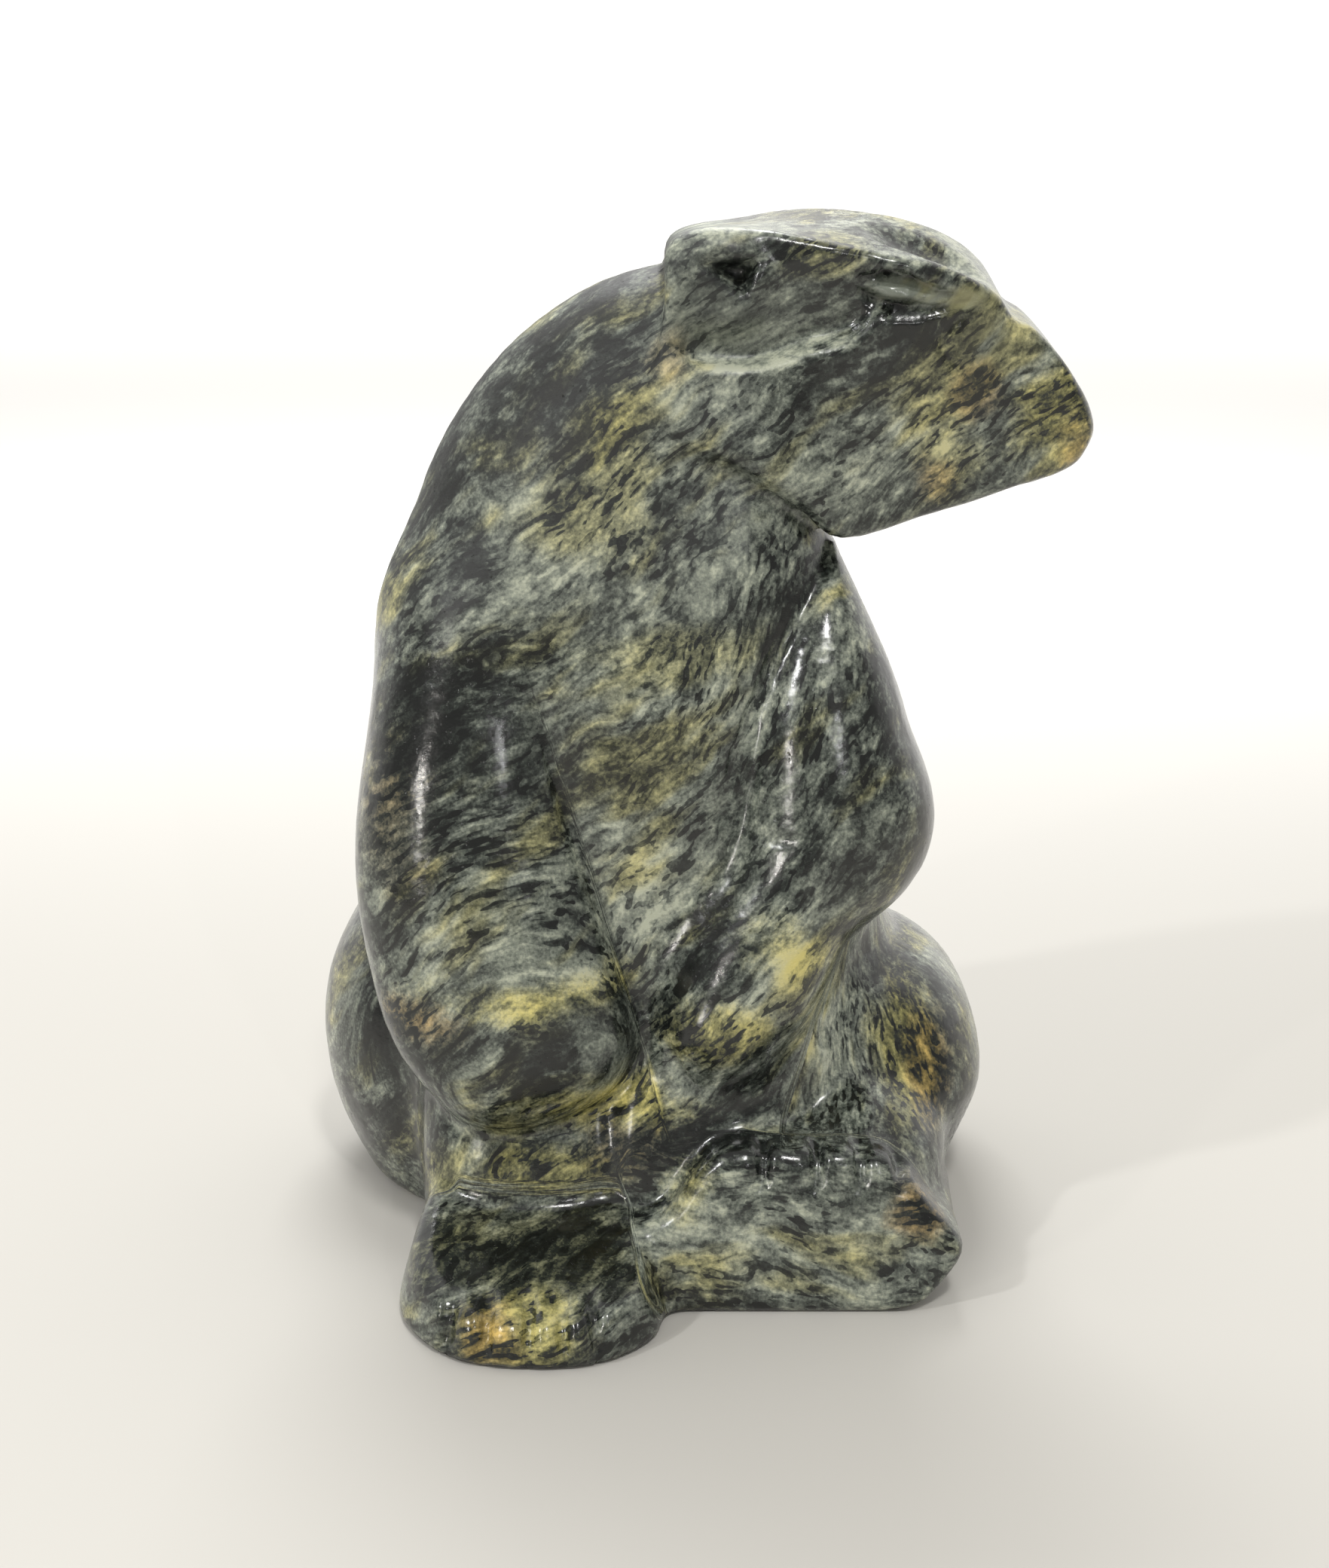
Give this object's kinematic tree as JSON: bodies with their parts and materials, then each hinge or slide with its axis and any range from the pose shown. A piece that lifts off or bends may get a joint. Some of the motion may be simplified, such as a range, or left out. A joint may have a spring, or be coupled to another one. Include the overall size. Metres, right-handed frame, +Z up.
{
  "type": "carved stone bear figure",
  "caption": "Small polished stone carving of a bear seated upright, with its head turned to one side and its paws in its lap; stands on a flat underside.",
  "frame": {"origin": "centre of the bounding box, on the flat underside", "axes": "+Z up, along the seated height; -Y the way the belly and feet face; +X the way the turned head looks"},
  "size_m": [0.0786, 0.0724, 0.1022],
  "materials": {
    "stone": "polished, mottled dark green-grey and black soapstone"
  },
  "bodies": {
    "root": {"bear_carving": "stone"}
  },
  "joints": []
}
